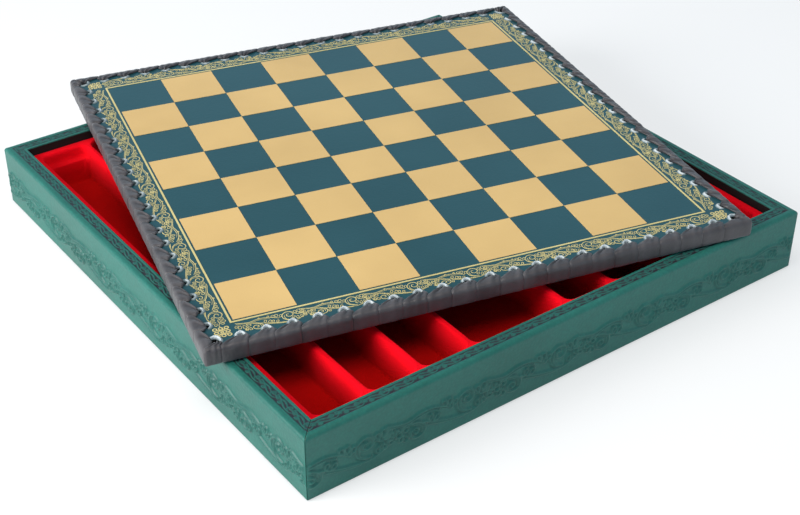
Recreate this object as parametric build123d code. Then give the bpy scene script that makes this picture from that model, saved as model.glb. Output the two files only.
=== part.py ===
from build123d import *
import math
import os

# Chess box: a leatherette covered storage box with a red pocketed tray, and its laced chess board,
# a lift-off lid that lies turned on the rim. Origin in the middle of the box underside, +Z up,
# front wall on -Y, millimetres.

# Shared
overrun = 2.0            # how far a cutting shape passes the faces that it cuts

# Box walls and their covering
box_side = 346.8
box_height = 39.6
cover_thick = 0.9        # leatherette on the outside and over the rim
wall_thick = 9.4         # wooden wall
lining_thick = 0.6       # black lining inside the recess
rim_round = 2.2          # outer edge of the covered rim
turn_in = 10.0           # width of the covering folded under the wall
cover_foot = 0.3         # the folded covering clears the table by this
seam_setback = 0.2       # each covering stops this short of the corner mitre

# Box bottom
panel_thick = 4.0
felt_margin = 0.5        # between the folded covering and the base felt

# Pocketed tray
recess_depth = 5.3       # rim down to the flange of the tray
tray_gap = 0.3           # tray to lining
flange_width = 6.0
divider_width = 4.0
pocket_depth = 21.0
pocket_round = 4.5       # corner of a pocket at its mouth
mouth_bevel = 0.9        # softened edge of a pocket
bevel_angle = 45.0       # degrees
ledge_depth = 6.5        # step at the far end of the back pockets
ledge_width = 6.5
# Middles of the dividers across the tray, left to right, as shares of the inner width.
divider_shares = (0.115, 0.218, 0.321, 0.520, 0.622, 0.747, 0.872)

# Board
square = 35.0
squares_a_side = 8
lid_clearance = 0.6      # lacing to the lining, when the board lies square in the recess
core_thick = 7.1
sheet_thick = 0.8        # printed playing sheet
backing_thick = 0.7      # sheet under the board
foil_thick = 0.2         # gold squares and frame line
foil_setback = 0.15      # neighbouring gold squares stay this far from their common corner
frame_gap = 1.0          # squares to frame line
frame_width = 1.1

# Lacing along the edge of the board
lace_thick = 1.0
lace_seat = 0.15         # lace to the sheets above and below
lace_slack = 0.6         # lace to the edge of the board
lace_leg = 2.4           # width of the lace in a hole
lace_gap = 0.8           # between two wraps at the edge
lace_tail = 3.5          # free end under the edge, measured inwards
tail_width = 3.6
tail_setback = 1.2       # free end to the line of the first wrap, away from the corner
corner_clear = 0.4       # first and last wrap to the corner
pitch_count = 22         # hole spacings from corner hole to corner hole
hole_inset = 6.2         # hole row to the edge of the board
hole_radius = 2.1
corner_hole_radius = 3.4
corner_leg_shift = 1.2   # two laces share a corner hole, one on each side of its middle
hole_sides = 6
lean_share = 0.36        # sideways run of a wrap on the top, as a share of the hole spacing
gap_samples = 8          # points on each edge of a wrap in the gap measurement

# Place of the board on the rim
lid_x = 11.4
lid_y = 19.3
lid_turn = -13.85
lid_gap = 0.2            # lacing to rim

# Derived sizes of the box
half = box_side / 2
rim_width = cover_thick + wall_thick + lining_thick
inner_side = box_side - 2 * rim_width
wall_foot = cover_foot + cover_thick
panel_top = wall_foot + panel_thick
tray_side = inner_side - 2 * tray_gap
flange_top = box_height - recess_depth

# Derived sizes of the board
lid_side = inner_side - 2 * lid_clearance
field_side = square * squares_a_side
core_side = lid_side - 2 * (lace_slack + lace_thick)
backing_foot = lace_thick + lace_seat
core_foot = backing_foot + backing_thick
sheet_foot = core_foot + core_thick
sheet_top = sheet_foot + sheet_thick
hole_pitch = (core_side - 2 * hole_inset) / pitch_count
wrap_width = hole_pitch - lace_gap
lean = lean_share * hole_pitch

sides = ("front", "right", "back", "left")
lid_place = Location((lid_x, lid_y, box_height + lid_gap), (0, 0, lid_turn))


def block(width, depth, low, high):
    """Upright block in the middle of the frame between two heights."""
    return Pos(0, 0, (low + high) / 2) * Box(width, depth, high - low)


def mitred(profile, depth, setback):
    """Front strip of a square frame: a section on the Y and Z axes, run along X and mitred at both ends."""
    strip = extrude(Plane.YZ * profile, amount=half, both=True)
    plan = Polygon(
        (setback - half, -half),
        (half - setback, -half),
        (half - setback - depth, depth - half),
        (setback - half + depth, depth - half),
        align=None,
    )
    return strip & extrude(plan, amount=box_height)


def rounded_at(face, *corners):
    """Round named corners of a flat outline: each corner is a point and a radius."""
    for point, radius in corners:
        face = fillet(face.vertices().sort_by_distance(point)[0], radius)
    return face


def on_four_sides(strip):
    """Named copies of a front strip, one for each side of the square."""
    return {side: Rot(0, 0, 90 * turn) * strip for turn, side in enumerate(sides)}


# Wooden walls, mitred at the corners
def wall():
    outer = cover_thick - half
    inner = outer + wall_thick
    top = box_height - cover_thick
    face = make_face(Polyline((outer, wall_foot), (inner, wall_foot), (inner, top), (outer, top), close=True))
    face = rounded_at(face, ((outer, top), rim_round - cover_thick))
    return mitred(face, rim_width, 0)


# Leatherette covering: up the outside, over the rim and folded under the wall
def cover():
    top = box_height
    under = top - cover_thick
    face = make_face(
        Polyline(
            (-half, cover_foot),
            (turn_in - half, cover_foot),
            (turn_in - half, wall_foot),
            (cover_thick - half, wall_foot),
            (cover_thick - half, under),
            (rim_width - half, under),
            (rim_width - half, top),
            (-half, top),
            close=True,
        )
    )
    face = rounded_at(face, ((-half, top), rim_round), ((cover_thick - half, under), rim_round - cover_thick))
    return mitred(face, rim_width, seam_setback)


# Black lining, from the bottom panel up to the underside of the covering
def lining():
    outer = cover_thick + wall_thick - half
    inner = outer + lining_thick
    top = box_height - cover_thick
    face = make_face(Polyline((outer, panel_top), (inner, panel_top), (inner, top), (outer, top), close=True))
    return mitred(face, rim_width, 0)


# Bottom panel between the walls, and the felt that the box stands on
def bottom_panel():
    side = box_side - 2 * (cover_thick + wall_thick)
    return block(side, side, wall_foot, panel_top)


def base_felt():
    side = box_side - 2 * (turn_in + felt_margin)
    return block(side, side, 0, wall_foot)


# Flocked tray: a front and a back row of pockets, those of the back row with a step at the far end
def pocket(left, right, near, far, depth):
    """Cut for one pocket, down from the flange: softened mouth, rounded corners and upright walls."""
    mouth = Pos((left + right) / 2, (near + far) / 2, flange_top)
    rim = RectangleRounded(right - left, far - near, pocket_round)
    shaft = extrude(mouth * rim, amount=-depth)
    bevel = extrude(mouth * Pos(0, 0, -mouth_bevel) * rim, amount=mouth_bevel, taper=-bevel_angle)
    return shaft + bevel


def tray():
    body = block(tray_side, tray_side, panel_top, flange_top)
    edge = inner_side / 2 - flange_width
    near = divider_width / 2
    middles = [share * inner_side - inner_side / 2 for share in divider_shares]
    lefts = [-edge] + [middle + divider_width / 2 for middle in middles]
    rights = [middle - divider_width / 2 for middle in middles] + [edge]
    for left, right in zip(lefts, rights):
        body -= pocket(left, right, -edge, -near, pocket_depth)
        body -= pocket(left, right, near, edge - ledge_width, pocket_depth)
        body -= pocket(left, right, near, edge, ledge_depth)
    return body


# Lace holes along the edge of the board, one row a side with shared corner holes
def lace_holes(low, high):
    first = hole_inset - core_side / 2
    small = extrude(RegularPolygon(hole_radius, hole_sides, major_radius=False), amount=high - low + 2 * overrun)
    large = extrude(
        RegularPolygon(corner_hole_radius, hole_sides, major_radius=False), amount=high - low + 2 * overrun
    )
    cuts = []
    for turn in range(len(sides)):
        for step in range(pitch_count):
            hole = large if step == 0 else small
            cuts.append(Rot(0, 0, 90 * turn) * Pos(first + step * hole_pitch, first, low - overrun) * hole)
    return cuts


def laced_layer(low, high):
    """Square layer of the board with its lace holes."""
    return block(core_side, core_side, low, high) - lace_holes(low, high)


# Gold foil on the playing sheet: every second square, and a frame line around the field
def gold_squares():
    side = square - 2 * foil_setback
    first = (square - field_side) / 2
    tiles = []
    for column in range(squares_a_side):
        for row in range(squares_a_side):
            if (column + row) % 2 == 0:
                place = Pos(first + column * square, first + row * square, sheet_top + foil_thick / 2)
                tiles.append(place * Box(side, side, foil_thick))
    return Compound(children=tiles)


def gold_frame():
    inner = field_side + 2 * frame_gap
    outer = inner + 2 * frame_width
    low = sheet_top
    return block(outer, outer, low, low + foil_thick) - block(inner, inner, low - overrun, low + overrun)


# Lace: one strip that comes up through each hole, fans out over the edge and runs back under the board
# to the hole before. A station is the strip's cut across: its two ends along the side, and where its
# face against the board and its outer face lie, inwards from the edge and in height.
def lace_stations():
    top_in = sheet_top + lace_seat
    top_out = top_in + lace_thick
    foot_in = lace_thick
    foot_out = 0
    edge_in = -lace_slack
    edge_out = edge_in - lace_thick
    stations = []

    def add(ends, inner, outer):
        stations.append((ends, inner, outer))

    for wrap in range(pitch_count, -1, -1):
        along = hole_inset + wrap * hole_pitch
        leg_along = along
        leg_inset = hole_inset
        low_end = along - lean - wrap_width / 2
        high_end = low_end + wrap_width
        if wrap == pitch_count:
            leg_along -= corner_leg_shift
            leg_inset -= corner_leg_shift
            high_end = core_side - corner_clear
        if wrap == 0:
            leg_along += corner_leg_shift
            leg_inset -= corner_leg_shift
            low_end = corner_clear
        leg = (leg_along - lace_leg / 2, leg_along + lace_leg / 2)
        edge = (low_end, high_end)
        near = leg_inset - lace_thick / 2
        far = leg_inset + lace_thick / 2
        add(leg, (near, foot_in), (far, foot_out))
        add(leg, (near, top_in), (far, top_out))
        add(edge, (0, top_in), (0, top_out))
        add(edge, (edge_in, top_in - lace_slack), (edge_out, top_in - lace_slack))
        add(edge, (edge_in, foot_in + lace_slack), (edge_out, foot_in + lace_slack))
        add(edge, (0, foot_in), (0, foot_out))
    tail_start = corner_clear + tail_setback
    tail = (tail_start, tail_start + tail_width)
    add(tail, (lace_tail, foot_in), (lace_tail, foot_out))
    return stations


def station_corners(station):
    ends, inner, outer = station
    start = -core_side / 2
    return [
        Vector(start + ends[0], start + inner[0], inner[1]),
        Vector(start + ends[1], start + inner[0], inner[1]),
        Vector(start + ends[1], start + outer[0], outer[1]),
        Vector(start + ends[0], start + outer[0], outer[1]),
    ]


def lace():
    rings = [station_corners(station) for station in lace_stations()]
    faces = [Face(Wire.make_polygon(rings[0])), Face(Wire.make_polygon(rings[-1]))]
    for ring, following in zip(rings, rings[1:]):
        for corner in range(len(ring)):
            after = (corner + 1) % len(ring)
            a, b, c, d = ring[corner], ring[after], following[after], following[corner]
            faces.append(Face(Wire.make_polygon([a, b, c])))
            faces.append(Face(Wire.make_polygon([a, c, d])))
    return Solid(Shell(faces))


def least_lace_gap():
    """Least distance between points on the edges of the strip that lie a wrap apart."""
    rings = [station_corners(station) for station in lace_stations()]
    runs = []
    for ring, following in zip(rings, rings[1:]):
        points = []
        for begin, end in zip(ring, following):
            for sample in range(gap_samples + 1):
                points.append(tuple(begin + (end - begin) * (sample / gap_samples)))
        runs.append(points)
    stations_a_wrap = (len(rings) - 1) // (pitch_count + 1)
    least = core_side
    for index, points in enumerate(runs):
        for other in runs[index + stations_a_wrap // 2:index + 2 * stations_a_wrap]:
            least = min(least, min(math.dist(p, q) for p in points for q in other))
    return least


# Build and write every piece
box_pieces = {"bottom_panel": bottom_panel(), "base_felt": base_felt(), "tray": tray()}
for kind, strip in (("wall", wall()), ("cover", cover()), ("lining", lining())):
    for side, piece in on_four_sides(strip).items():
        box_pieces[f"{side}_{kind}"] = piece

lid_pieces = {
    "board_core": laced_layer(core_foot, sheet_foot),
    "playing_sheet": laced_layer(sheet_foot, sheet_top),
    "backing_sheet": laced_layer(backing_foot, core_foot),
    "gold_squares": gold_squares(),
    "gold_frame": gold_frame(),
}
for side, piece in on_four_sides(lace()).items():
    lid_pieces[f"{side}_lace"] = piece

for name, piece in box_pieces.items():
    export_step(piece, f"parts/{name}.step")
for name, piece in lid_pieces.items():
    export_step(lid_place * piece, f"parts/{name}.step")

print(f"least gap of a lace to itself: {least_lace_gap():.2f} mm, hole spacing {hole_pitch:.2f} mm")
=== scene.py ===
import math
import random

import bpy
import numpy as np
from mathutils import Matrix, Vector


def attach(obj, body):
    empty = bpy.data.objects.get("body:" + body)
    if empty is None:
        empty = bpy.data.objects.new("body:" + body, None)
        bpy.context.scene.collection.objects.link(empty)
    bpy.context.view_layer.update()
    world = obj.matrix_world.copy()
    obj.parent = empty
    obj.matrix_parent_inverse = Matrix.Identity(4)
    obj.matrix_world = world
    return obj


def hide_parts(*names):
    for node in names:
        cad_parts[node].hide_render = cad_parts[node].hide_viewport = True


# Chess box: green leatherette box with a red flocked tray, and its laced board lying turned on the rim.
# Sizes are in millimetres here and become metres where a mesh is made.

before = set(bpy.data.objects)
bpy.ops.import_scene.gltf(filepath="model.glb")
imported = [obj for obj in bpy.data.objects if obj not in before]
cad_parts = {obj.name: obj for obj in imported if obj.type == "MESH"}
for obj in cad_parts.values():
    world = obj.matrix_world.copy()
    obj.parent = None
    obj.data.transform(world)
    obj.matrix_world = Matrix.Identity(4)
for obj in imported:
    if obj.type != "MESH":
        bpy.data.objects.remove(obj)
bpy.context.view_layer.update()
MM = 0.001

# Box
BOX_SIDE = 346.8
BOX_HEIGHT = 39.6
RIM_WIDTH = 10.9
COVER_THICK = 0.9
RIM_ROUND = 2.2
FOOT_ROUND = 0.8
TURN_IN = 10.0
COVER_FOOT = 0.3
SEAM_SETBACK = 0.2

# Tray
FLANGE_TOP = 34.3
FLANGE_WIDTH = 6.0
DIVIDER = 4.0
POCKET_DEPTH = 21.0
LEDGE_DEPTH = 6.5
LEDGE_WIDTH = 6.5
POCKET_ROUND = 5.0
TRAY_SOFT = 2.8
DIVIDER_SHARES = (0.115, 0.218, 0.321, 0.520, 0.622, 0.747, 0.872)

# Board, in its own frame: middle of the board, height above the underside of the lacing
BOARD = Matrix.Translation((0.0114, 0.0193, 0.0398)) @ Matrix.Rotation(math.radians(-13.85), 4, "Z")
FIELD = 280.0
CORE = 320.6
SHEET_TOP = 9.75
HOLE_INSET = 6.2
INNER_HOLES = 21
PITCH = (CORE - 2 * HOLE_INSET) / (INNER_HOLES + 1)
LEAN = 0.36 * PITCH

SIDES = ("front", "right", "back", "left")


# ---------------------------------------------------------------- shader groups and materials

def new_group(name, inputs, outputs):
    group = bpy.data.node_groups.new(name, "ShaderNodeTree")
    for label, kind, value in inputs:
        socket = group.interface.new_socket(label, in_out="INPUT", socket_type=kind)
        if value is not None:
            socket.default_value = value
    for label, kind in outputs:
        group.interface.new_socket(label, in_out="OUTPUT", socket_type=kind)
    return group, group.nodes.new("NodeGroupInput"), group.nodes.new("NodeGroupOutput")


def math_node(tree, operation, a, b=None, clamp=False):
    node = tree.nodes.new("ShaderNodeMath")
    node.operation = operation
    node.use_clamp = clamp
    for index, value in enumerate((a, b)):
        if value is None:
            continue
        if isinstance(value, (int, float)):
            node.inputs[index].default_value = value
        else:
            tree.links.new(value, node.inputs[index])
    return node.outputs[0]


def leather_grain_group():
    """Pebbled skin: small cells with fine creases, and slow drifts of tone."""
    group, inp, out = new_group(
        "leather_grain",
        [("Vector", "NodeSocketVector", None), ("Cells", "NodeSocketFloat", 900.0),
         ("Drift", "NodeSocketFloat", 18.0)],
        [("Height", "NodeSocketFloat"), ("Tone", "NodeSocketFloat"), ("Blotch", "NodeSocketFloat")],
    )
    cells = group.nodes.new("ShaderNodeTexVoronoi")
    cells.feature = "SMOOTH_F1"
    cells.inputs["Smoothness"].default_value = 0.4
    fine = group.nodes.new("ShaderNodeTexNoise")
    fine.inputs["Detail"].default_value = 4.0
    drift = group.nodes.new("ShaderNodeTexNoise")
    drift.inputs["Detail"].default_value = 3.0
    link = group.links.new
    for node in (cells, fine, drift):
        link(inp.outputs["Vector"], node.inputs["Vector"])
    link(inp.outputs["Cells"], cells.inputs["Scale"])
    link(math_node(group, "MULTIPLY", inp.outputs["Cells"], 0.35), fine.inputs["Scale"])
    link(inp.outputs["Drift"], drift.inputs["Scale"])
    pebble = math_node(group, "SUBTRACT", 1.0, cells.outputs["Distance"])
    link(math_node(group, "ADD", pebble, fine.outputs[0]), out.inputs["Height"])
    link(math_node(group, "MULTIPLY", pebble, fine.outputs[0]), out.inputs["Tone"])
    link(drift.outputs[0], out.inputs["Blotch"])
    return group


def flock_group():
    """Short nap: fine specks standing up, combed into slow soft patches."""
    group, inp, out = new_group(
        "flock_nap",
        [("Vector", "NodeSocketVector", None), ("Specks", "NodeSocketFloat", 2600.0),
         ("Patches", "NodeSocketFloat", 30.0)],
        [("Height", "NodeSocketFloat"), ("Tone", "NodeSocketFloat")],
    )
    specks = group.nodes.new("ShaderNodeTexNoise")
    specks.inputs["Detail"].default_value = 5.0
    patches = group.nodes.new("ShaderNodeTexNoise")
    patches.inputs["Detail"].default_value = 2.0
    link = group.links.new
    link(inp.outputs["Vector"], specks.inputs["Vector"])
    link(inp.outputs["Vector"], patches.inputs["Vector"])
    link(inp.outputs["Specks"], specks.inputs["Scale"])
    link(inp.outputs["Patches"], patches.inputs["Scale"])
    link(specks.outputs[0], out.inputs["Height"])
    mixed = math_node(group, "ADD", math_node(group, "MULTIPLY", specks.outputs[0], 0.45), patches.outputs[0])
    link(mixed, out.inputs["Tone"])
    return group


LEATHER_GRAIN = leather_grain_group()
FLOCK_NAP = flock_group()


class Finish:
    """A material with a Principled shader, its object coordinates and small helpers to wire it."""

    def __init__(self, name, roughness, specular=0.5, turn=0.0, **sockets):
        self.material = bpy.data.materials.new(name)
        self.material.use_nodes = True
        self.tree = self.material.node_tree
        self.shader = self.tree.nodes["Principled BSDF"]
        self.shader.inputs["Roughness"].default_value = roughness
        self.shader.inputs["Specular IOR Level"].default_value = specular
        for label, value in sockets.items():
            self.shader.inputs[label.replace("_", " ")].default_value = value
        coordinates = self.tree.nodes.new("ShaderNodeTexCoord")
        mapping = self.tree.nodes.new("ShaderNodeMapping")
        mapping.inputs["Rotation"].default_value = (0, 0, turn)
        self.link(coordinates.outputs["Object"], mapping.inputs["Vector"])
        self.place = mapping.outputs["Vector"]

    def link(self, source, target):
        self.tree.links.new(source, target)

    def group(self, group, **values):
        node = self.tree.nodes.new("ShaderNodeGroup")
        node.node_tree = group
        self.link(self.place, node.inputs["Vector"])
        for label, value in values.items():
            node.inputs[label].default_value = value
        return node

    def attribute(self, name):
        node = self.tree.nodes.new("ShaderNodeAttribute")
        node.attribute_name = name
        return node.outputs["Fac"]

    def ramp(self, source, stops):
        node = self.tree.nodes.new("ShaderNodeValToRGB")
        ramp = node.color_ramp
        while len(ramp.elements) < len(stops):
            ramp.elements.new(0.5)
        for element, (position, colour) in zip(ramp.elements, stops):
            element.position = position
            element.color = (*colour, 1.0) if isinstance(colour, tuple) else (colour, colour, colour, 1.0)
        self.link(source, node.inputs["Fac"])
        return node.outputs["Color"]

    def mix(self, factor, low, high, blend="MIX"):
        node = self.tree.nodes.new("ShaderNodeMix")
        node.data_type = "RGBA"
        node.blend_type = blend
        for socket, value in ((node.inputs["Factor"], factor), (node.inputs[6], low), (node.inputs[7], high)):
            if isinstance(value, tuple):
                socket.default_value = (*value, 1.0)
            elif isinstance(value, (int, float)):
                socket.default_value = value
            else:
                self.link(value, socket)
        return node.outputs[2]

    def colour(self, source):
        self.link(source, self.shader.inputs["Base Color"])

    def rough(self, source):
        self.link(source, self.shader.inputs["Roughness"])

    def bump(self, height, distance, strength=1.0):
        node = self.tree.nodes.new("ShaderNodeBump")
        node.inputs["Distance"].default_value = distance
        node.inputs["Strength"].default_value = strength
        self.link(height, node.inputs["Height"])
        self.link(node.outputs["Normal"], self.shader.inputs["Normal"])


def green_leatherette():
    finish = Finish("green_leatherette", 0.42, 0.30)
    grain = finish.group(LEATHER_GRAIN, Cells=620.0, Drift=14.0)
    skin = finish.ramp(grain.outputs["Blotch"], [(0.3, (0.013, 0.114, 0.089)), (0.7, (0.021, 0.152, 0.121))])
    skin = finish.mix(finish.ramp(grain.outputs["Tone"], [(0.05, 0.35), (0.5, 0.0)]), skin, (0.010, 0.055, 0.047))
    paint = finish.attribute("tooling")
    finish.colour(finish.mix(paint, skin, (0.022, 0.021, 0.028)))
    finish.rough(finish.ramp(grain.outputs["Blotch"], [(0.3, 0.36), (0.7, 0.47)]))
    finish.bump(grain.outputs["Height"], 0.00012, 0.5)
    return finish.material


def black_lining():
    finish = Finish("black_lining", 0.75, 0.3)
    grain = finish.group(LEATHER_GRAIN, Cells=1400.0, Drift=25.0)
    finish.colour(finish.ramp(grain.outputs["Blotch"], [(0.3, 0.004), (0.7, 0.009)]))
    finish.bump(grain.outputs["Height"], 0.00006, 0.5)
    return finish.material


def red_flock():
    finish = Finish("red_flock", 0.95, 0.03, Sheen_Weight=0.12, Sheen_Roughness=0.45,
                    Sheen_Tint=(1.0, 0.10, 0.14, 1.0))
    nap = finish.group(FLOCK_NAP, Specks=2600.0, Patches=22.0)
    pile = finish.ramp(nap.outputs["Tone"], [(0.35, (0.62, 0.0016, 0.0060)), (0.95, (0.86, 0.0030, 0.0120))])
    pocket_shade = finish.ramp(nap.outputs["Tone"], [(0.35, (0.24, 0.0010, 0.0008)), (0.95, (0.42, 0.0022, 0.0018))])
    # Pocket floors are mixed by depth towards a darker red: painted shade in the pockets.
    finish.colour(finish.mix(finish.attribute("sunk"), pile, pocket_shade))
    finish.bump(nap.outputs["Height"], 0.0004, 0.6)
    return finish.material


def dark_felt():
    finish = Finish("dark_felt", 0.95, 0.15, Sheen_Weight=0.2)
    nap = finish.group(FLOCK_NAP, Specks=1500.0, Patches=40.0)
    finish.colour(finish.ramp(nap.outputs["Tone"], [(0.3, 0.010), (1.0, 0.024)]))
    finish.bump(nap.outputs["Height"], 0.0006, 0.7)
    return finish.material


def playing_leatherette():
    finish = Finish("playing_leatherette", 0.30, 0.5, turn=math.radians(13.85))
    grain = finish.group(LEATHER_GRAIN, Cells=800.0, Drift=12.0)
    skin = finish.ramp(grain.outputs["Blotch"], [(0.3, (0.007, 0.048, 0.058)), (0.7, (0.011, 0.062, 0.076))])
    finish.colour(skin)
    finish.rough(finish.ramp(grain.outputs["Blotch"], [(0.3, 0.28), (0.7, 0.36)]))
    finish.bump(grain.outputs["Height"], 0.00007, 0.5)
    return finish.material


def gold_print(name, low, high, metallic):
    finish = Finish(name, 0.40, 0.5, turn=math.radians(13.85), Metallic=metallic)
    grain = finish.group(LEATHER_GRAIN, Cells=800.0, Drift=16.0)
    finish.colour(finish.ramp(grain.outputs["Blotch"], [(0.3, low), (0.7, high)]))
    finish.rough(finish.ramp(grain.outputs["Tone"], [(0.05, 0.48), (0.6, 0.38)]))
    finish.bump(grain.outputs["Height"], 0.00006, 0.5)
    return finish.material


def lace_leather():
    finish = Finish("lace_leather", 0.5, 0.45, Sheen_Weight=0.15, Sheen_Roughness=0.5)
    grain = finish.group(LEATHER_GRAIN, Cells=520.0, Drift=60.0)
    skin = finish.ramp(grain.outputs["Blotch"], [(0.3, (0.030, 0.026, 0.029)), (0.7, (0.056, 0.050, 0.054))])
    # Pleat crests are lightened as a painted highlight. Pleat hollows, strip edges, underside and the part down the
    # hole are darkened as painted shade.
    crest_highlight = finish.ramp(finish.attribute("ridge"), [(0.45, 0.0), (1.0, 0.40)])
    skin = finish.mix(crest_highlight, skin, (0.105, 0.098, 0.102))
    fold_shade = finish.ramp(finish.attribute("ridge"), [(0.0, 0.75), (0.4, 0.0)])
    finish.colour(finish.mix(fold_shade, skin, (0.012, 0.010, 0.012)))
    finish.rough(finish.ramp(grain.outputs["Blotch"], [(0.3, 0.44), (0.7, 0.58)]))
    finish.bump(grain.outputs["Height"], 0.00018, 0.6)
    return finish.material


def stretched_vinyl():
    finish = Finish("stretched_vinyl", 0.28, 0.5)
    grain = finish.group(LEATHER_GRAIN, Cells=900.0, Drift=120.0)
    pale = finish.ramp(grain.outputs["Blotch"], [(0.3, (0.42, 0.46, 0.47)), (0.7, (0.62, 0.66, 0.67))])
    # The pale crest colour is partly the stretched sheet gone stress-whitened and partly a painted highlight.
    finish.colour(finish.mix(finish.attribute("whitening_and_glint"), (0.016, 0.060, 0.070), pale))
    finish.bump(grain.outputs["Height"], 0.00008, 0.5)
    return finish.material


def plain_wood(name, low, high):
    finish = Finish(name, 0.6, 0.4)
    wave = finish.tree.nodes.new("ShaderNodeTexWave")
    wave.bands_direction = "Y"
    wave.inputs["Scale"].default_value = 55.0
    wave.inputs["Distortion"].default_value = 6.0
    wave.inputs["Detail"].default_value = 3.0
    finish.link(finish.place, wave.inputs["Vector"])
    finish.colour(finish.ramp(wave.outputs[0], [(0.2, low), (0.9, high)]))
    finish.bump(wave.outputs[0], 0.0001, 0.4)
    return finish.material


GREEN = green_leatherette()
LINING = black_lining()
FLOCK = red_flock()
FELT = dark_felt()
SHEET = playing_leatherette()
GOLD = gold_print("gold_squares", (0.58, 0.372, 0.135), (0.66, 0.430, 0.160), 0.0)
GILT = gold_print("gold_lines", (0.58, 0.470, 0.190), (0.70, 0.575, 0.250), 0.15)
LACE = lace_leather()
VINYL = stretched_vinyl()
WOOD = plain_wood("plain_wood", (0.30, 0.19, 0.10), (0.42, 0.28, 0.16))
CORE_BOARD = plain_wood("dark_board", (0.012, 0.009, 0.007), (0.030, 0.022, 0.017))


# ---------------------------------------------------------------- mesh helpers

def mesh_object(name, vertices, faces, material=None, smooth=True, attributes=None):
    """Object from millimetre vertices, with its own point attributes."""
    mesh = bpy.data.meshes.new(name)
    mesh.from_pydata([tuple(v) for v in np.asarray(vertices, dtype=float) * MM], [], [tuple(f) for f in faces])
    for label, values in (attributes or {}).items():
        mesh.attributes.new(label, "FLOAT", "POINT").data.foreach_set("value", np.asarray(values, dtype=np.float32))
    mesh.polygons.foreach_set("use_smooth", [smooth] * len(mesh.polygons))
    if material:
        mesh.materials.append(material)
    mesh.update()
    return bpy.data.objects.new(name, mesh)


def show(piece, body, slot, *nodes):
    bpy.context.scene.collection.objects.link(piece)
    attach(piece, body)
    if nodes:
        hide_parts(*nodes)
    return piece


def grid_faces(rows, columns, ring=False):
    """Quads of a grid of rows by columns; a ring joins each row's last column to its first."""
    faces = []
    for row in range(rows - 1):
        for column in range(columns if ring else columns - 1):
            after = (column + 1) % columns
            here = row * columns
            faces.append((here + column, here + after, here + columns + after, here + columns + column))
    return faces


def smooth_step(x):
    x = np.clip(x, 0.0, 1.0)
    return x * x * (3 - 2 * x)


# ---------------------------------------------------------------- scroll ornament

def smooth_path(points, count):
    """Catmull-Rom curve through points of any dimension, evenly spread over its length."""
    p = np.array([points[0]] + list(points) + [points[-1]], dtype=float)
    fine = []
    for i in range(1, len(p) - 2):
        t = np.linspace(0, 1, 12, endpoint=False)[:, None]
        a, b, c, d = p[i - 1], p[i], p[i + 1], p[i + 2]
        fine.append(0.5 * (2 * b + (c - a) * t + (2 * a - 5 * b + 4 * c - d) * t ** 2
                           + (3 * b - a - 3 * c + d) * t ** 3))
    fine = np.concatenate(fine + [p[-2:-1]])
    length = np.concatenate([[0], np.cumsum(np.linalg.norm(np.diff(fine[:, :2], axis=0), axis=1))])
    at = np.linspace(0, length[-1], count)
    return np.stack([np.interp(at, length, fine[:, k]) for k in range(fine.shape[1])], 1)


# One repeat of the leafy scroll, for a repeat of 35 and a height from -4.6 to 4.6: points and half width.
SCROLL_REPEAT = 35.0
SCROLL_STEMS = (
    (((0.0, 4.5), (3.2, 3.5), (7.0, 2.8), (11.0, 3.7), (15.0, 3.8), (19.0, 2.6), (22.6, 0.6)), 0.20),
    (((0.4, 3.7), (3.6, 2.7), (7.2, 2.0), (11.0, 2.8), (14.6, 2.9), (18.0, 1.8)), 0.14),
    (((12.6, 0.1), (17.2, -1.7), (22.4, -3.2), (28.6, -4.2), (32.0, -3.6), (34.6, -2.2)), 0.20),
    (((15.0, -1.7), (19.0, -2.9), (23.0, -3.9), (27.0, -4.5)), 0.14),
    (((29.6, -3.4), (26.2, -2.5), (24.5, -0.2), (24.8, 2.5), (27.4, 4.3), (30.0, 3.4), (30.4, 1.2), (28.6, -0.1),
      (26.9, 0.8), (27.2, 2.3), (28.4, 2.2)), 0.22),
    (((28.4, -3.2), (26.0, -1.6), (25.5, 0.4), (25.9, 2.3)), 0.13),
    (((7.4, 1.6), (10.6, 1.0), (13.0, -0.9), (12.8, -3.2), (10.8, -4.3), (8.6, -3.6), (8.0, -1.9), (9.4, -0.8),
      (10.9, -1.5), (10.6, -2.7), (9.7, -2.6)), 0.22),
    (((8.6, 0.9), (11.0, 0.1), (12.1, -1.2), (12.0, -2.8)), 0.13),
    (((31.2, 1.6), (33.0, 0.6), (35.0, 0.9), (37.2, 0.0), (39.6, 0.6), (42.2, 1.4)), 0.17),
)
# Leaves: place of the foot, direction in degrees, length.
SCROLL_LEAVES = (
    (20.6, 1.9, 118, 2.5), (21.6, 1.6, 84, 2.7), (22.9, 1.0, 55, 2.5),
    (32.4, 1.4, 112, 2.6), (33.6, 1.5, 80, 3.0), (34.8, 1.3, 50, 2.4),
    (1.4, 2.0, -150, 2.6), (2.2, 1.8, -112, 3.0), (3.6, 1.7, -76, 3.2), (5.2, 1.8, -44, 2.8),
    (31.0, -0.4, -140, 2.2), (32.4, -0.6, -104, 2.5), (33.8, -0.6, -70, 2.4), (35.2, -0.3, -40, 2.4),
    (14.4, -0.6, 62, 2.4), (16.2, -1.2, 40, 2.6), (18.4, -2.0, 66, 2.2), (20.2, -2.5, 48, 2.2),
    (5.6, -1.0, -120, 2.4), (6.4, -1.4, -84, 2.4), (14.6, -1.5, -100, 2.2), (3.4, -2.2, -30, 2.0),
    (16.6, 3.5, 28, 1.6), (12.2, 3.6, 60, 1.2),
)


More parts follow.
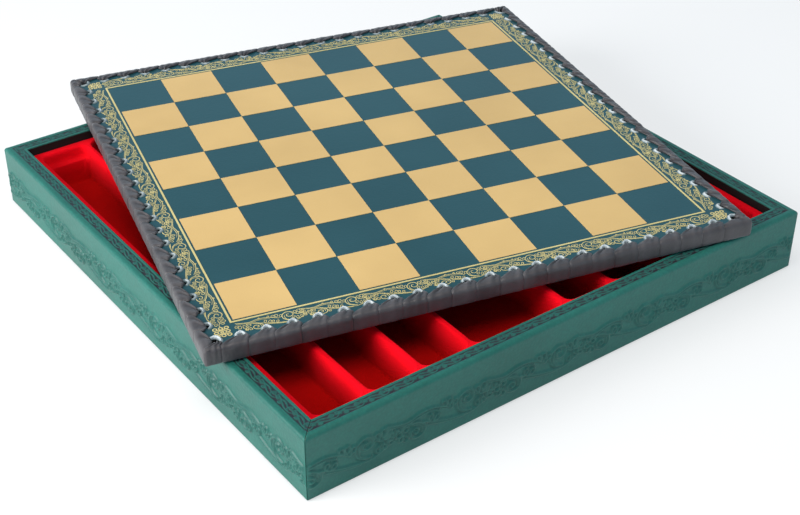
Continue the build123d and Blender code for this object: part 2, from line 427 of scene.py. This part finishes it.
def scroll_strokes(length, least_leaf=0.0):
    """One repeat of the scroll over twice the given length, with its leaves from a least size on:
    strokes as (points, half widths)."""
    scale = 2 * length / SCROLL_REPEAT
    drawn = [(smooth_path(points, 6 * len(points)), width) for points, width in SCROLL_STEMS]
    t = np.linspace(-1, 1, 18)
    for x, y, degrees, size in SCROLL_LEAVES:
        if size < least_leaf:
            continue
        angle = math.radians(degrees)
        reach = size * (1 - np.abs(t) ** 1.7)
        side = 0.30 * size * np.sin(math.pi * t) * (1 - 0.3 * t)
        outline = np.stack([x + reach * math.cos(angle) - side * math.sin(angle),
                            y + reach * math.sin(angle) + side * math.cos(angle)], 1)
        drawn.append((outline, 0.15))
    strokes = []
    for points, width in drawn:
        along = np.linspace(-1, 1, len(points))
        strokes.append((points * scale, width * scale * (0.6 + 0.4 * np.sqrt(1 - along * along))))
    return strokes


def rosette_strokes(size):
    """Square of three by three small rings, tied by short bars."""
    strokes = []
    pitch = size / 3
    t = np.linspace(0, 2 * math.pi, 18)
    for column in (-1, 0, 1):
        for row in (-1, 0, 1):
            radius = (0.34 if column or row else 0.22) * pitch
            ring = np.stack([column * pitch + radius * np.cos(t), row * pitch + radius * np.sin(t)], 1)
            strokes.append((ring, np.full(len(t), 0.10 * pitch)))
    for turn in (1, -1):
        for row in (-0.5, 0.5):
            bar = np.linspace(-1.15, 1.15, 8)
            strokes.append((pitch * np.stack([bar, turn * (bar * 0.25 + row)], 1), np.full(len(bar), 0.07 * pitch)))
    return strokes


def ribbons(strokes, low, rise):
    """Flat foil ribbons along strokes, each a hair above the one before so that crossings stay clean."""
    vertices, faces = [], []
    for number, (points, widths) in enumerate(strokes):
        along = np.gradient(points, axis=0)
        along /= np.linalg.norm(along, axis=1)[:, None] + 1e-9
        normal = np.stack([-along[:, 1], along[:, 0]], 1)
        left, right = points + normal * widths[:, None], points - normal * widths[:, None]
        top = low + rise * (1 + 0.015 * number)
        base = len(vertices)
        count = len(points)
        for side, height in ((left, low), (left, top), (right, top), (right, low)):
            vertices += [(p[0], p[1], height) for p in side]
        for i in range(count - 1):
            for a, b in ((0, 1), (1, 2), (2, 3), (3, 0)):
                faces.append((base + a * count + i, base + a * count + i + 1,
                              base + b * count + i + 1, base + b * count + i))
        faces.append(tuple(base + a * count for a in (0, 1, 2, 3)))
        faces.append(tuple(base + a * count + count - 1 for a in (3, 2, 1, 0)))
    return vertices, faces


def relief_map(strokes, period, height, step, line):
    """Raster of one period of an ornament: 1 on the lines, falling to 0 at the line width beside them."""
    columns, rows = int(round(period / step)), int(round(height / step)) + 1
    x, y = np.meshgrid(np.arange(columns) * step, np.arange(rows) * step - height / 2)
    least = np.full(x.shape, 1e9)
    widest = max(widths.max() for _, widths in strokes)
    for points, widths in strokes:
        slim = (widest / widths.max()) ** 0.5
        for a, b in zip(points, points[1:]):
            for shift in (-period, 0, period):
                ax = a[0] + shift
                if max(ax, b[0] + shift) < -2 * line or min(ax, b[0] + shift) > period + 2 * line:
                    continue
                dx, dy = b[0] - a[0], b[1] - a[1]
                t = np.clip(((x - ax) * dx + (y - a[1]) * dy) / (dx * dx + dy * dy + 1e-12), 0, 1)
                least = np.minimum(least, slim * np.hypot(x - ax - t * dx, y - a[1] - t * dy))
    return 1 - smooth_step(least / line)


def sampled(raster, period, height, step, u, v):
    """Bilinear look-up in a repeating raster; outside its height the ornament is 0."""
    rows, columns = raster.shape
    x = np.mod(u, period) / step
    y = (v + height / 2) / step
    inside = (y >= 0) & (y <= rows - 1)
    y = np.clip(y, 0, rows - 1.001)
    x0, y0 = np.floor(x).astype(int) % columns, np.floor(y).astype(int)
    fx, fy = x - np.floor(x), y - y0
    x1 = (x0 + 1) % columns
    value = (raster[y0, x0] * (1 - fx) + raster[y0, x1] * fx) * (1 - fy)
    value += (raster[y0 + 1, x0] * (1 - fx) + raster[y0 + 1, x1] * fx) * fy
    return np.where(inside, value, 0.0)


# ---------------------------------------------------------------- covered walls

FRIEZE_HALF_WAVE = 31.5
FRIEZE_HEIGHT = 18.0
FRIEZE_MIDDLE = 16.0
FRIEZE_RISE = 1.1
FRIEZE_LINE = 1.45
FRIEZE_LEAF = 2.4
BAND_HALF_WAVE = 7.5
BAND_HEIGHT = 4.6
BAND_MIDDLE = 6.6
BAND_SINK = 0.35
BAND_LINE = 0.62
BAND_LEAF = 2.9
MAP_STEP = 0.2
COLUMN_STEP = 0.5
WALL_STEP = 0.45
RIM_STEP = 0.3
INNER_ROUND = 0.4
SEAM_FADE = 2.5
CREASE_PAINT = 0.9
BED_SOFT = 0.5
SIDE_SHIFT = 9.0


def cover_profile():
    """Section of the covering as (inset, height, kind), round its outside and back."""
    half_pi = math.pi / 2
    points = [(TURN_IN, COVER_FOOT, "under"), (FOOT_ROUND + 3, COVER_FOOT, "under")]
    for t in np.linspace(0, half_pi, 5):
        points.append((FOOT_ROUND - FOOT_ROUND * math.sin(t),
                       COVER_FOOT + FOOT_ROUND - FOOT_ROUND * math.cos(t), "under"))
    for z in np.arange(COVER_FOOT + FOOT_ROUND + WALL_STEP, BOX_HEIGHT - RIM_ROUND - 0.2, WALL_STEP):
        points.append((0.0, z, "wall"))
    for t in np.linspace(0, half_pi, 7):
        points.append((RIM_ROUND - RIM_ROUND * math.cos(t), BOX_HEIGHT - RIM_ROUND + RIM_ROUND * math.sin(t), "edge"))
    for n in np.arange(RIM_ROUND + RIM_STEP, RIM_WIDTH - 0.45, RIM_STEP):
        points.append((n, BOX_HEIGHT, "rim"))
    for t in np.linspace(0, half_pi, 4):
        points.append((RIM_WIDTH - INNER_ROUND + INNER_ROUND * math.sin(t),
                       BOX_HEIGHT - INNER_ROUND + INNER_ROUND * math.cos(t), "edge"))
    points += [
        (RIM_WIDTH, BOX_HEIGHT - COVER_THICK, "back"),
        (RIM_ROUND, BOX_HEIGHT - COVER_THICK, "back"),
        (COVER_THICK, BOX_HEIGHT - RIM_ROUND, "back"),
        (COVER_THICK, COVER_FOOT + COVER_THICK, "back"),
        (TURN_IN, COVER_FOOT + COVER_THICK, "back"),
    ]
    return points


def wall_cover(frieze, band, shift):
    """Front covering: mitred strip with a raised scroll on the wall and a sunk painted scroll on the rim."""
    profile = cover_profile()
    columns = int(BOX_SIDE / COLUMN_STEP)
    u = np.linspace(-1, 1, columns)
    rows, tooling = [], []
    for n, z, kind in profile:
        reach = BOX_SIDE / 2 - SEAM_SETBACK - n
        x = u * reach
        y = np.full(columns, n - BOX_SIDE / 2)
        height = np.full(columns, z)
        paint = np.zeros(columns)
        fade = smooth_step((reach - np.abs(x)) / SEAM_FADE)
        if kind == "wall":
            lift = sampled(frieze, 2 * FRIEZE_HALF_WAVE, FRIEZE_HEIGHT, MAP_STEP, x + shift,
                           np.full(columns, z - FRIEZE_MIDDLE))
            y -= FRIEZE_RISE * lift * fade
            paint += CREASE_PAINT * lift * (1 - lift) * fade
        if kind == "rim":
            lift = sampled(band, 2 * BAND_HALF_WAVE, BAND_HEIGHT, MAP_STEP, x + shift,
                           np.full(columns, n - BAND_MIDDLE))
            past = abs(n - BAND_MIDDLE) - BAND_HEIGHT / 2
            bed = smooth_step(1 - past / BED_SOFT) if past > 0 else 1.0
            height -= BAND_SINK * bed * (1 - lift) * fade
            paint += bed * (0.15 + 0.85 * (1 - lift) ** 1.5)
        rows.append(np.stack([x, y, height], 1))
        tooling.append(paint)
    vertices = np.concatenate(rows)
    ring_rows = len(profile)
    faces = []
    for row in range(ring_rows):
        here, after = row * columns, ((row + 1) % ring_rows) * columns
        for column in range(columns - 1):
            faces.append((here + column, here + column + 1, after + column + 1, after + column))
    faces.append(tuple(row * columns for row in range(ring_rows)))
    faces.append(tuple(row * columns + columns - 1 for row in reversed(range(ring_rows))))
    return vertices, faces, np.concatenate(tooling)


def turned(vertices, quarter):
    c, s = (1, 0, -1, 0)[quarter], (0, 1, 0, -1)[quarter]
    v = np.asarray(vertices)
    return np.stack([c * v[:, 0] - s * v[:, 1], s * v[:, 0] + c * v[:, 1], v[:, 2]], 1)


def make_covers():
    frieze = relief_map(scroll_strokes(FRIEZE_HALF_WAVE, FRIEZE_LEAF), 2 * FRIEZE_HALF_WAVE, FRIEZE_HEIGHT,
                        MAP_STEP, FRIEZE_LINE)
    band = relief_map(scroll_strokes(BAND_HALF_WAVE, BAND_LEAF), 2 * BAND_HALF_WAVE, BAND_HEIGHT, MAP_STEP, BAND_LINE)
    for quarter, side in enumerate(SIDES):
        vertices, faces, tooling = wall_cover(frieze, band, SIDE_SHIFT * quarter)
        piece = mesh_object(f"{side}_leatherette", turned(vertices, quarter), faces, GREEN, True, {"tooling": tooling})
        show(piece, "box", "green_leatherette", f"{side}_cover")


# ---------------------------------------------------------------- flocked tray

def tray_lines(edges, low, high, soft):
    """Grid lines that crowd where the pocket walls are."""
    lines = {low, high}
    for edge in edges:
        lines.update(edge + soft * k for k in np.linspace(-1, 1, 25))
    lines.update(np.arange(low, high, 6.0))
    ordered = sorted(x for x in lines if low <= x <= high)
    kept = [ordered[0]]
    for x in ordered[1:]:
        if x - kept[-1] > 0.12:
            kept.append(x)
    return np.array(kept)


def rounded_distance(x, y, left, right, near, far, corner):
    """Distance inwards (positive) from the rounded outline of a pocket."""
    cx, cy = (left + right) / 2, (near + far) / 2
    qx = np.abs(x - cx) - (right - left) / 2 + corner
    qy = np.abs(y - cy) - (far - near) / 2 + corner
    outside = np.hypot(np.maximum(qx, 0), np.maximum(qy, 0))
    return corner - outside - np.minimum(np.maximum(qx, qy), 0)


def make_tray():
    side = BOX_SIDE - 2 * RIM_WIDTH
    reach = side / 2 - 0.3
    edge = side / 2 - FLANGE_WIDTH
    middles = [share * side - side / 2 for share in DIVIDER_SHARES]
    lefts = [-edge] + [m + DIVIDER / 2 for m in middles]
    rights = [m - DIVIDER / 2 for m in middles] + [edge]
    xs = tray_lines(lefts + rights, -reach, reach, TRAY_SOFT)
    ys = tray_lines([-edge, -DIVIDER / 2, DIVIDER / 2, edge - LEDGE_WIDTH, edge], -reach, reach, TRAY_SOFT)
    x, y = np.meshgrid(xs, ys)

    def sunk(distance, depth):
        """Depth below the flange: a soft shoulder, a steep wall and a rounded foot."""
        shoulder = 0.9 * smooth_step((distance + 1.1) / 1.2)
        wall = (depth - 2.0) * np.clip(distance / 0.7, 0, 1)
        foot = 1.1 * smooth_step((distance - 0.5) / 1.1)
        return shoulder + wall + foot

    drop = np.zeros_like(x)
    for left, right in zip(lefts, rights):
        deep_front = sunk(rounded_distance(x, y, left, right, -edge, -DIVIDER / 2, POCKET_ROUND), POCKET_DEPTH)
        deep_back = sunk(rounded_distance(x, y, left, right, DIVIDER / 2, edge - LEDGE_WIDTH, POCKET_ROUND),
                         POCKET_DEPTH)
        shelf = sunk(rounded_distance(x, y, left, right, DIVIDER / 2, edge, POCKET_ROUND), LEDGE_DEPTH)
        drop = np.maximum.reduce([drop, deep_front, deep_back, shelf])
    wobble = 0.12 * np.sin(x * 0.21 + 1.3) * np.sin(y * 0.17) + 0.08 * np.sin(x * 0.05 - y * 0.09)
    rim = smooth_step((reach - np.maximum(np.abs(x), np.abs(y))) / 1.0)
    z = FLANGE_TOP - drop + wobble * rim - 0.5 * (1 - rim)
    rows, columns = x.shape
    vertices = np.stack([x.ravel(), y.ravel(), z.ravel()], 1)
    faces = grid_faces(rows, columns)
    border = ([c for c in range(columns)] + [r * columns + columns - 1 for r in range(1, rows)]
              + [(rows - 1) * columns + c for c in range(columns - 2, -1, -1)]
              + [r * columns for r in range(rows - 2, 0, -1)])
    start = len(vertices)
    skirt = vertices[border].copy()
    skirt[:, 2] = 6.0
    vertices = np.concatenate([vertices, skirt])
    # The depth share also darkens the flock towards the pocket floors as painted shade.
    sunk_share = np.concatenate([drop.ravel() / POCKET_DEPTH, np.zeros(len(skirt))])
    count = len(border)
    for i in range(count):
        after = (i + 1) % count
        faces.append((border[after], border[i], start + i, start + after))
    faces.append(tuple(start + i for i in reversed(range(count))))
    show(mesh_object("flocked_tray", vertices, faces, FLOCK, True, {"sunk": sunk_share}), "box", "red_flock", "tray")


# ---------------------------------------------------------------- rows of repeated pieces

def row_tree():
    """Geometry Nodes: units picked at random along a straight row, copied to one or more sides of a square."""
    tree = bpy.data.node_groups.new("row_on_sides", "GeometryNodeTree")
    sockets = {}
    for label, kind, value in (
        ("Units", "NodeSocketCollection", None),
        ("Variants", "NodeSocketInt", 1),
        ("Count", "NodeSocketInt", 1),
        ("Pitch", "NodeSocketFloat", 0.014),
        ("Start", "NodeSocketVector", (0, 0, 0)),
        ("Seed", "NodeSocketInt", 0),
        ("Sides", "NodeSocketInt", 4),
        ("First Turn", "NodeSocketFloat", 0.0),
        ("Material", "NodeSocketMaterial", None),
    ):
        socket = tree.interface.new_socket(label, in_out="INPUT", socket_type=kind)
        if value is not None:
            socket.default_value = value
        sockets[label] = socket.identifier
    tree.interface.new_socket("Geometry", in_out="OUTPUT", socket_type="NodeSocketGeometry")
    nodes, link = tree.nodes, tree.links.new
    inp, out = nodes.new("NodeGroupInput"), nodes.new("NodeGroupOutput")
    step = nodes.new("ShaderNodeCombineXYZ")
    link(inp.outputs["Pitch"], step.inputs["X"])
    line = nodes.new("GeometryNodeMeshLine")
    link(inp.outputs["Count"], line.inputs["Count"])
    link(inp.outputs["Start"], line.inputs["Start Location"])
    link(step.outputs[0], line.inputs["Offset"])
    info = nodes.new("GeometryNodeCollectionInfo")
    link(inp.outputs["Units"], info.inputs["Collection"])
    info.inputs["Separate Children"].default_value = True
    info.inputs["Reset Children"].default_value = True
    last = nodes.new("ShaderNodeMath")
    last.operation = "SUBTRACT"
    last.inputs[1].default_value = 1
    link(inp.outputs["Variants"], last.inputs[0])
    pick = nodes.new("FunctionNodeRandomValue")
    pick.data_type = "INT"
    pick.inputs[4].default_value = 0
    link(last.outputs[0], pick.inputs[5])
    link(inp.outputs["Seed"], pick.inputs["Seed"])
    row = nodes.new("GeometryNodeInstanceOnPoints")
    row.inputs["Pick Instance"].default_value = True
    link(line.outputs["Mesh"], row.inputs["Points"])
    link(info.outputs[0], row.inputs["Instance"])
    link(pick.outputs[2], row.inputs["Instance Index"])
    corners = nodes.new("GeometryNodeMeshLine")
    corners.inputs["Offset"].default_value = (0, 0, 0)
    link(inp.outputs["Sides"], corners.inputs["Count"])
    index = nodes.new("GeometryNodeInputIndex")
    quarter = nodes.new("ShaderNodeMath")
    quarter.operation = "MULTIPLY_ADD"
    quarter.inputs[1].default_value = math.pi / 2
    link(index.outputs[0], quarter.inputs[0])
    link(inp.outputs["First Turn"], quarter.inputs[2])
    turn = nodes.new("ShaderNodeCombineXYZ")
    link(quarter.outputs[0], turn.inputs["Z"])
    square = nodes.new("GeometryNodeInstanceOnPoints")
    link(corners.outputs["Mesh"], square.inputs["Points"])
    link(row.outputs[0], square.inputs["Instance"])
    link(turn.outputs[0], square.inputs["Rotation"])
    realize = nodes.new("GeometryNodeRealizeInstances")
    link(square.outputs[0], realize.inputs[0])
    finish = nodes.new("GeometryNodeSetMaterial")
    link(realize.outputs[0], finish.inputs["Geometry"])
    link(inp.outputs["Material"], finish.inputs["Material"])
    link(finish.outputs[0], out.inputs[0])
    return tree, sockets


ROW_TREE, ROW_SOCKETS = row_tree()


def baked_row(name, units, count, pitch, start, material, seed=1, sides=4, first_turn=0.0):
    """Plain mesh of a row of units on one or more sides of the board, in the board's own frame."""
    shelf = bpy.data.collections.new(name + "_units")
    for unit in units:
        shelf.objects.link(unit)
    holder = bpy.data.objects.new(name + "_row", bpy.data.meshes.new(name + "_row"))
    bpy.context.scene.collection.objects.link(holder)
    modifier = holder.modifiers.new("row", "NODES")
    modifier.node_group = ROW_TREE
    values = {"Units": shelf, "Variants": len(units), "Count": count, "Pitch": pitch * MM,
              "Start": [v * MM for v in start], "Seed": seed, "Sides": sides, "First Turn": first_turn,
              "Material": material}
    for label, value in values.items():
        modifier[ROW_SOCKETS[label]] = value
    evaluated = holder.evaluated_get(bpy.context.evaluated_depsgraph_get())
    mesh = bpy.data.meshes.new_from_object(evaluated)
    mesh.name = name
    bpy.data.objects.remove(holder)
    for unit in units:
        bpy.data.objects.remove(unit)
    bpy.data.collections.remove(shelf)
    return mesh


def joined(name, meshes, material):
    """One object in the board's place from meshes in the board's own frame."""
    vertices, faces, attributes = [], [], {}
    for mesh in meshes:
        base = len(vertices)
        vertices += [tuple(v.co / MM) for v in mesh.vertices]
        faces += [tuple(base + i for i in p.vertices) for p in mesh.polygons]
        for layer in mesh.attributes:
            if layer.domain == "POINT" and layer.data_type == "FLOAT":
                values = np.empty(len(mesh.vertices), dtype=np.float32)
                layer.data.foreach_get("value", values)
                attributes.setdefault(layer.name, []).append(values)
    attributes = {label: np.concatenate(parts) for label, parts in attributes.items()}
    piece = mesh_object(name, vertices, faces, material, True, attributes)
    piece.data.transform(BOARD)
    return piece


# ---------------------------------------------------------------- gold border of the board

BORDER_INNER = 3.4
BORDER_WIDTH = 9.2
SCROLL_UNIT = 17.5
FOIL_RISE = 0.10


def make_gold_border():
    middle = FIELD / 2 + BORDER_INNER + BORDER_WIDTH / 2
    vertices, faces = ribbons(scroll_strokes(SCROLL_UNIT), 0.0, FOIL_RISE)
    unit = mesh_object("scroll_unit", vertices, faces, None, False)
    scroll = baked_row("gold_scroll", [unit], int(FIELD / (2 * SCROLL_UNIT)), 2 * SCROLL_UNIT,
                       (-FIELD / 2, -middle, SHEET_TOP), GILT)
    vertices, faces = ribbons(rosette_strokes(BORDER_WIDTH), 0.0, FOIL_RISE)
    unit = mesh_object("rosette_unit", vertices, faces, None, False)
    rosettes = baked_row("gold_rosettes", [unit], 1, 0.0, (-middle, -middle, SHEET_TOP), GILT)
    piece = joined("gold_border", [scroll, rosettes], GILT)
    piece.data.polygons.foreach_set("use_smooth", [False] * len(piece.data.polygons))
    show(piece, "lid", "gold_foil")


# ---------------------------------------------------------------- lacing

LACE_STATIONS = 48
LACE_ACROSS = 25
LACE_UNDER = 7
LACE_THICK = 1.05


def lace_wrap(seed, low=None, high=None, leg=(0.0, 0.0), tucked=False):
    """One wrap of the lace about a hole at the origin of its side: up through the hole, fanned over the
    edge in pleats, and back under the board to the hole before, or tucked in at the end of the lace.
    Its bounds at the edge may be set."""
    rng = random.Random(seed)
    lean = LEAN + rng.uniform(-0.5, 0.5)
    wide = PITCH + 0.9 + rng.uniform(-0.2, 0.4)
    low = -lean - wide / 2 if low is None else low
    high = low + wide if high is None else high
    middle, half = (low + high) / 2, (high - low) / 2
    hole = HOLE_INSET + leg[1]
    top, foot = SHEET_TOP + 0.12, LACE_THICK - 0.02
    # Station: inset from the edge, height, place along the side, half width, thickness, pleat depth.
    route = [
        (hole - 0.7, 5.2, leg[0], 0.9, 0.7, 0.0),
        (hole - 0.7, 8.3, leg[0], 1.1, 0.7, 0.0),
        (hole - 0.9, 9.35, leg[0], 1.7, 0.8, 0.30),
        (hole - 1.5, top + 0.05, leg[0] + 0.08 * middle, 0.46 * half, 1.0, 0.62),
        (hole - 2.5, top + 0.15, leg[0] + 0.34 * middle, 0.80 * half, 1.1, 0.55),
        (1.8, top + 0.05, 0.80 * middle, 0.97 * half, 1.1, 0.30),
        (0.2, top - 0.15, 0.97 * middle, half, 1.05, 0.16),
        (-0.5, top - 1.2, middle, half, 1.0, 0.10),
        (-0.6, 5.5, middle, half, 1.0, 0.07),
        (-0.5, foot + 1.3, middle, half, 1.0, 0.07),
        (0.3, foot + 0.15, middle - 0.3, half, 0.95, 0.07),
    ] + ([
        (2.2, foot, 0.6 * middle - 0.35 * PITCH, 0.7 * half, 0.95, 0.07),
        (HOLE_INSET - 1.4, foot, -0.93 * PITCH, 2.0, 0.9, 0.05),
        (HOLE_INSET - 0.2, foot + 0.5, -PITCH, 1.2, 0.8, 0.0),
        (HOLE_INSET, 2.4, -PITCH, 0.9, 0.7, 0.0),
        (HOLE_INSET, 5.2, -PITCH, 0.8, 0.7, 0.0),
    ] if not tucked else [
        (1.8, foot, middle, 0.8 * half, 0.95, 0.05),
        (3.5, foot, middle + 0.4, 0.45 * half, 0.9, 0.0),
    ])
    path = smooth_path(route, LACE_STATIONS)
    across = np.sin(np.linspace(-1, 1, LACE_ACROSS) * math.pi / 2)
    waves = [(rng.choice((3, 4, 5)), rng.uniform(0, 6.28), 1.0), (rng.choice((6, 7)), rng.uniform(0, 6.28), 0.55)]
    pleat = sum(size * np.cos(math.pi * count * across * 0.5 + phase) for count, phase, size in waves) / 1.55
    rounded = (1 - np.abs(across) ** 9) ** 0.6
    tangent = np.gradient(path[:, :2], axis=0)
    tangent /= np.linalg.norm(tangent, axis=1)[:, None]
    normal = np.stack([tangent[:, 1], -tangent[:, 0]], 1)
    vertices, ridge = [], []
    for station in range(LACE_STATIONS):
        n, z, s, w, thick, depth = path[station]
        lift = rounded * (thick + depth * pleat)
        inner = np.linspace(1, -1, LACE_UNDER + 2)[1:-1]
        for a, h in list(zip(across, lift)) + [(a, 0.0) for a in inner]:
            vertices.append((s + a * w, n + h * normal[station, 0] - CORE / 2, z + h * normal[station, 1]))
        # Ridge: high on pleat crests, low in hollows, at the strip's edges and underside, and kept low in the first
        # stations down the hole. It drives the lace's painted highlight and painted shade.
        shade = np.clip(0.5 + 0.5 * pleat * min(1.0, depth / 0.3), 0, 1) * rounded * (0.1 if station < 9 else 1.0)
        ridge += list(shade) + [0.0] * LACE_UNDER
    ring = LACE_ACROSS + LACE_UNDER
    faces = [tuple(reversed(f)) for f in grid_faces(LACE_STATIONS, ring, True)]
    faces.append(tuple(range(ring)))
    faces.append(tuple((LACE_STATIONS - 1) * ring + i for i in reversed(range(ring))))
    return mesh_object(f"wrap_{seed}", vertices, faces, None, True, {"ridge": ridge})


def make_lacing():
    first = HOLE_INSET - CORE / 2
    for quarter, side in enumerate(SIDES):
        turn = quarter * math.pi / 2
        wraps = [lace_wrap(100 * quarter + k) for k in range(8)]
        row = baked_row(f"{side}_wraps", wraps, INNER_HOLES, PITCH, (first + PITCH, 0, 0), LACE,
                        seed=11 + quarter, sides=1, first_turn=turn)
        start = lace_wrap(100 * quarter + 50, low=-HOLE_INSET - 0.9, high=1.9, leg=(1.0, -1.0), tucked=True)
        start = baked_row(f"{side}_start", [start], 1, 0, (first, 0, 0), LACE, sides=1, first_turn=turn)
        end = lace_wrap(100 * quarter + 51, low=-LEAN - PITCH / 2 - 0.2, high=HOLE_INSET + 0.9, leg=(-1.0, -1.0))
        end = baked_row(f"{side}_end", [end], 1, 0, (-first, 0, 0), LACE, sides=1, first_turn=turn)
        show(joined(f"{side}_lacing", [row, start, end], LACE), "lid", "lace_leather", f"{side}_lace")


# ---------------------------------------------------------------- stretched lips at the lace holes

LIP_RADIUS = 2.2
CORNER_LIP_RADIUS = 3.3


def hole_lip(radius, seed, pale):
    """Crater edge on the inner side of a lace hole, where the sheet is drawn up: stress-whitened, with a painted
    highlight on its crest.
    """
    rng = random.Random(seed)
    steps = 22
    tall = 0.6 + 0.4 * pale
    rows = [(radius + 1.5, 0.0, 0.0), (radius + 1.0, 0.30, 0.35), (radius + 0.55, 1.0, 0.9),
            (radius + 0.2, 1.35, 1.0), (radius - 0.2, 1.15, 1.0), (radius - 0.5, 0.3, 0.9), (radius - 0.6, -0.9, 0.2)]
    vertices, white = [], []
    lean = rng.uniform(-0.25, 0.25)
    for r, h, tone in rows:
        for i in range(steps):
            t = i / (steps - 1)
            angle = math.radians(-14 + 208 * t) + lean
            swell = math.sin(math.pi * t) ** 0.6
            wave = 1 + 0.10 * math.sin(3 * angle + seed)
            vertices.append((r * math.cos(angle), r * math.sin(angle),
                             (h * tall * swell * wave if h > 0 else h) + 0.02))
            white.append(tone * pale * (0.2 + 0.8 * swell))
    faces = grid_faces(len(rows), steps)
    return mesh_object(f"lip_{seed}", vertices, faces, None, True, {"whitening_and_glint": white})


def make_lips():
    first = HOLE_INSET - CORE / 2
    rows = []
    # The far lips (back and left) get 0.55 of the paleness of the near lips (front and right) and are lower. The
    # difference in paleness is painted light: lit and shaded copies of one lip.
    for name, turn, pale in (("near", 0.0, 1.0), ("far", math.pi, 0.55)):
        units = [hole_lip(LIP_RADIUS, k, pale) for k in range(6)]
        rows.append(baked_row(name + "_lips", units, INNER_HOLES, PITCH, (first + PITCH, first, SHEET_TOP),
                              VINYL, 4, 2, turn))
        corner = hole_lip(CORNER_LIP_RADIUS, 9, pale)
        corner.data.transform(Matrix.Rotation(math.radians(-45), 4, "Z"))
        rows.append(baked_row(name + "_corner", [corner], 1, 0, (first, first, SHEET_TOP), VINYL, 4, 2, turn))
    show(joined("hole_lips", rows, VINYL), "lid", "playing_leatherette")


# ---------------------------------------------------------------- finishes of the nodes that stay

def dress_nodes():
    finishes = {"playing_sheet": SHEET, "backing_sheet": SHEET, "gold_squares": GOLD, "gold_frame": GILT,
                "board_core": CORE_BOARD, "bottom_panel": WOOD, "base_felt": FELT}
    for side in SIDES:
        finishes[f"{side}_wall"] = WOOD
        finishes[f"{side}_lining"] = LINING
    for node, material in finishes.items():
        node_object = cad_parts[node]
        node_object.data.materials.clear()
        node_object.data.materials.append(material)


# ---------------------------------------------------------------- stage, light and camera

def make_floor():
    size = 6.0
    mesh = bpy.data.meshes.new("floor")
    mesh.from_pydata([(-size, -size, 0), (size, -size, 0), (size, size, 0), (-size, size, 0)], [], [(0, 1, 2, 3)])
    floor = bpy.data.objects.new("floor", mesh)
    bpy.context.scene.collection.objects.link(floor)
    material = bpy.data.materials.new("pale_floor")
    material.use_nodes = True
    shader = material.node_tree.nodes["Principled BSDF"]
    shader.inputs["Base Color"].default_value = (0.86, 0.86, 0.86, 1)
    shader.inputs["Roughness"].default_value = 0.8
    shader.inputs["Specular IOR Level"].default_value = 0.1
    tree = material.node_tree
    glow = tree.nodes.new("ShaderNodeEmission")
    light_path = tree.nodes.new("ShaderNodeLightPath")
    seen = math_node(tree, "MULTIPLY", light_path.outputs["Is Camera Ray"], 0.5)
    blend = tree.nodes.new("ShaderNodeMixShader")
    tree.links.new(seen, blend.inputs[0])
    tree.links.new(shader.outputs[0], blend.inputs[1])
    tree.links.new(glow.outputs[0], blend.inputs[2])
    tree.links.new(blend.outputs[0], tree.nodes["Material Output"].inputs["Surface"])
    mesh.materials.append(material)


def make_world():
    world = bpy.data.worlds.new("studio")
    bpy.context.scene.world = world
    world.use_nodes = True
    tree = world.node_tree
    background = tree.nodes["Background"]
    coordinates = tree.nodes.new("ShaderNodeTexCoord")
    split = tree.nodes.new("ShaderNodeSeparateXYZ")
    ramp = tree.nodes.new("ShaderNodeValToRGB")
    stops = ((0.10, (0.85, 0.92, 1.0)), (0.42, (0.50, 1.00, 1.40)),
             (0.62, (0.34, 0.36, 0.38)), (0.95, (0.42, 0.43, 0.45)))
    while len(ramp.color_ramp.elements) < len(stops):
        ramp.color_ramp.elements.new(0.5)
    for element, (position, colour) in zip(ramp.color_ramp.elements, stops):
        element.position = position
        element.color = (*colour, 1)
    tree.links.new(coordinates.outputs["Generated"], split.inputs[0])
    tree.links.new(split.outputs["Z"], ramp.inputs["Fac"])
    light_path = tree.nodes.new("ShaderNodeLightPath")
    seen = tree.nodes.new("ShaderNodeMix")
    seen.data_type = "RGBA"
    seen.inputs[7].default_value = (1, 1, 1, 1)
    tree.links.new(light_path.outputs["Is Camera Ray"], seen.inputs["Factor"])
    tree.links.new(ramp.outputs["Color"], seen.inputs[6])
    tree.links.new(seen.outputs[2], background.inputs["Color"])
    background.inputs["Strength"].default_value = 0.75


def add_lamp(name, place, target, size, watts, colour=(1, 1, 1)):
    lamp = bpy.data.lights.new(name, "AREA")
    lamp.shape = "DISK"
    lamp.size = size
    lamp.energy = watts
    lamp.color = colour
    thing = bpy.data.objects.new(name, lamp)
    thing.location = place
    thing.rotation_euler = (Vector(target) - Vector(place)).to_track_quat("-Z", "Y").to_euler()
    bpy.context.scene.collection.objects.link(thing)


def make_lights():
    add_lamp("key_left", (-1.55, 0.35, 0.72), (0, 0, 0.02), 1.0, 34, (1.0, 0.985, 0.96))
    add_lamp("top_soft", (-0.35, -0.45, 1.6), (0, 0, 0.02), 1.0, 15, (1.0, 0.97, 0.93))


def make_camera():
    camera = bpy.data.cameras.new("camera")
    camera.lens = 65.264
    camera.sensor_width = 36.0
    thing = bpy.data.objects.new("camera", camera)
    right, up = Vector((0.806224, -0.591607, 0.001738)), Vector((0.327080, 0.448179, 0.831958))
    back = Vector((-0.492972, -0.670176, 0.554836))
    matrix = Matrix((right, up, back)).transposed().to_4x4()
    matrix.translation = (-0.445802, -0.619260, 0.490180)
    thing.matrix_world = matrix
    bpy.context.scene.collection.objects.link(thing)
    bpy.context.scene.camera = thing


make_covers()
make_tray()
make_gold_border()
make_lacing()
make_lips()
dress_nodes()
make_floor()
make_world()
make_lights()
make_camera()
bpy.context.scene.view_settings.view_transform = "Standard"
